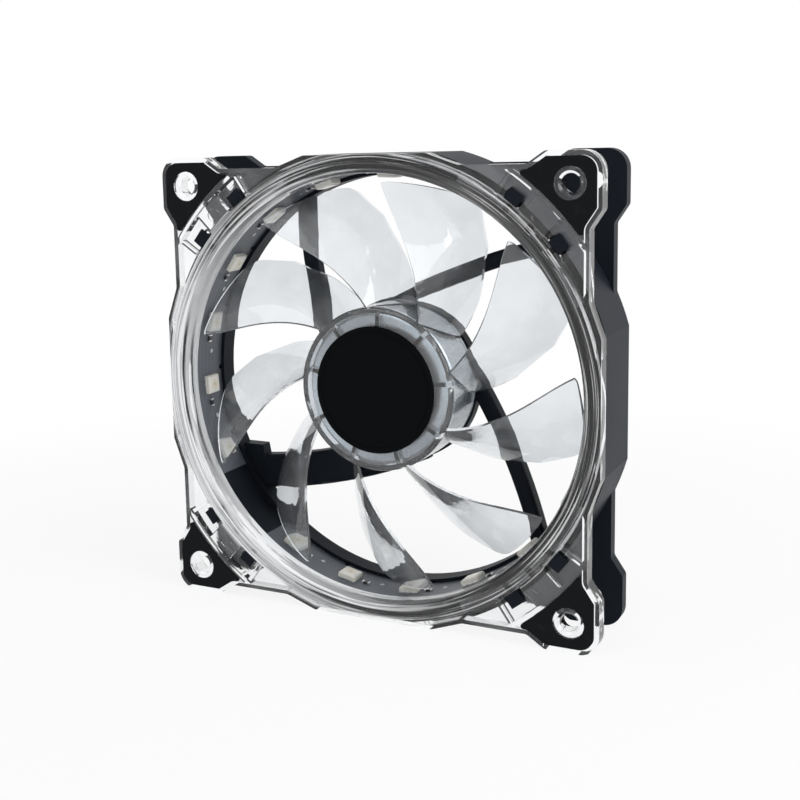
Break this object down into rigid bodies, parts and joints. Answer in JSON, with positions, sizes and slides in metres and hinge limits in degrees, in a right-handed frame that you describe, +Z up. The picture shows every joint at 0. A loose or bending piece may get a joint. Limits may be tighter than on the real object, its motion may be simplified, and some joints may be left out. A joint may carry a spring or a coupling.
{
  "type": "case fan",
  "caption": "Square computer case fan with a clear clip-on front frame, a lit duct ring and a clear swept-blade impeller that spins on a brushless motor.",
  "frame": {"origin": "on the fan's axis, midway between the front and rear pad faces", "axes": "+Y along the airflow from the intake side to the exhaust side, +Z up, +X to the right as the intake side is seen; the fan stands on its bottom edge"},
  "size_m": [0.12, 0.025, 0.12],
  "materials": {
    "black_plastic": "fine matt",
    "clear_plastic": "clear polished plastic",
    "clear_blades": "clear polished plastic, faint grey",
    "black_disc": "satin black",
    "rubber_pad": "matt",
    "dark_board": "dark solder resist",
    "white_package": "satin",
    "phosphor": "translucent gel",
    "ceramic_black": "moulded",
    "steel": "bright drawn steel",
    "magnet": "bonded ferrite",
    "brass": "turned",
    "steel_pin": "ground",
    "clip_plastic": "natural nylon",
    "bronze": "sintered, oiled",
    "laminations": "stamped stack",
    "bobbin_plastic": "moulded",
    "copper_winding": "enamelled copper",
    "green_board": "solder resist",
    "capacitor": "ceramic",
    "tinned": "tinned"
  },
  "bodies": {
    "housing": {"bearing_tube": "brass", "bobbin_front": "bobbin_plastic", "bobbin_rear": "bobbin_plastic", "capacitors": "capacitor", "coil_1": "copper_winding", "coil_2": "copper_winding", "coil_3": "copper_winding", "coil_4": "copper_winding", "driver_chip": "ceramic_black", "front_frame": "clear_plastic", "front_pad_bottom_left": "rubber_pad", "front_pad_bottom_right": "rubber_pad", "front_pad_top_left": "rubber_pad", "front_pad_top_right": "rubber_pad", "hall_sensor": "ceramic_black", "led_packages": "white_package", "led_phosphors": "phosphor", "led_strip": "dark_board", "motor_board": "green_board", "rear_frame": "black_plastic", "rear_pad_bottom_left": "rubber_pad", "rear_pad_bottom_right": "rubber_pad", "rear_pad_top_left": "rubber_pad", "rear_pad_top_right": "rubber_pad", "sleeve_bearing": "bronze", "stator_core": "laminations", "strip_resistors": "ceramic_black", "terminal_pins": "tinned", "thrust_pad": "clip_plastic"},
    "rotor": {"impeller": "clear_blades", "hub_disc": "black_disc", "rotor_yoke": "steel", "ring_magnet": "magnet", "shaft_boss": "brass", "shaft": "steel_pin", "retaining_clip": "clip_plastic", "oil_ring": "clip_plastic"}
  },
  "joints": [
    {"name": "rotor_spin", "type": "hinge", "parent": "housing", "child": "rotor", "pos_m": [0, 0, 0], "axis": [0, 1, 0], "continuous": true}
  ]
}
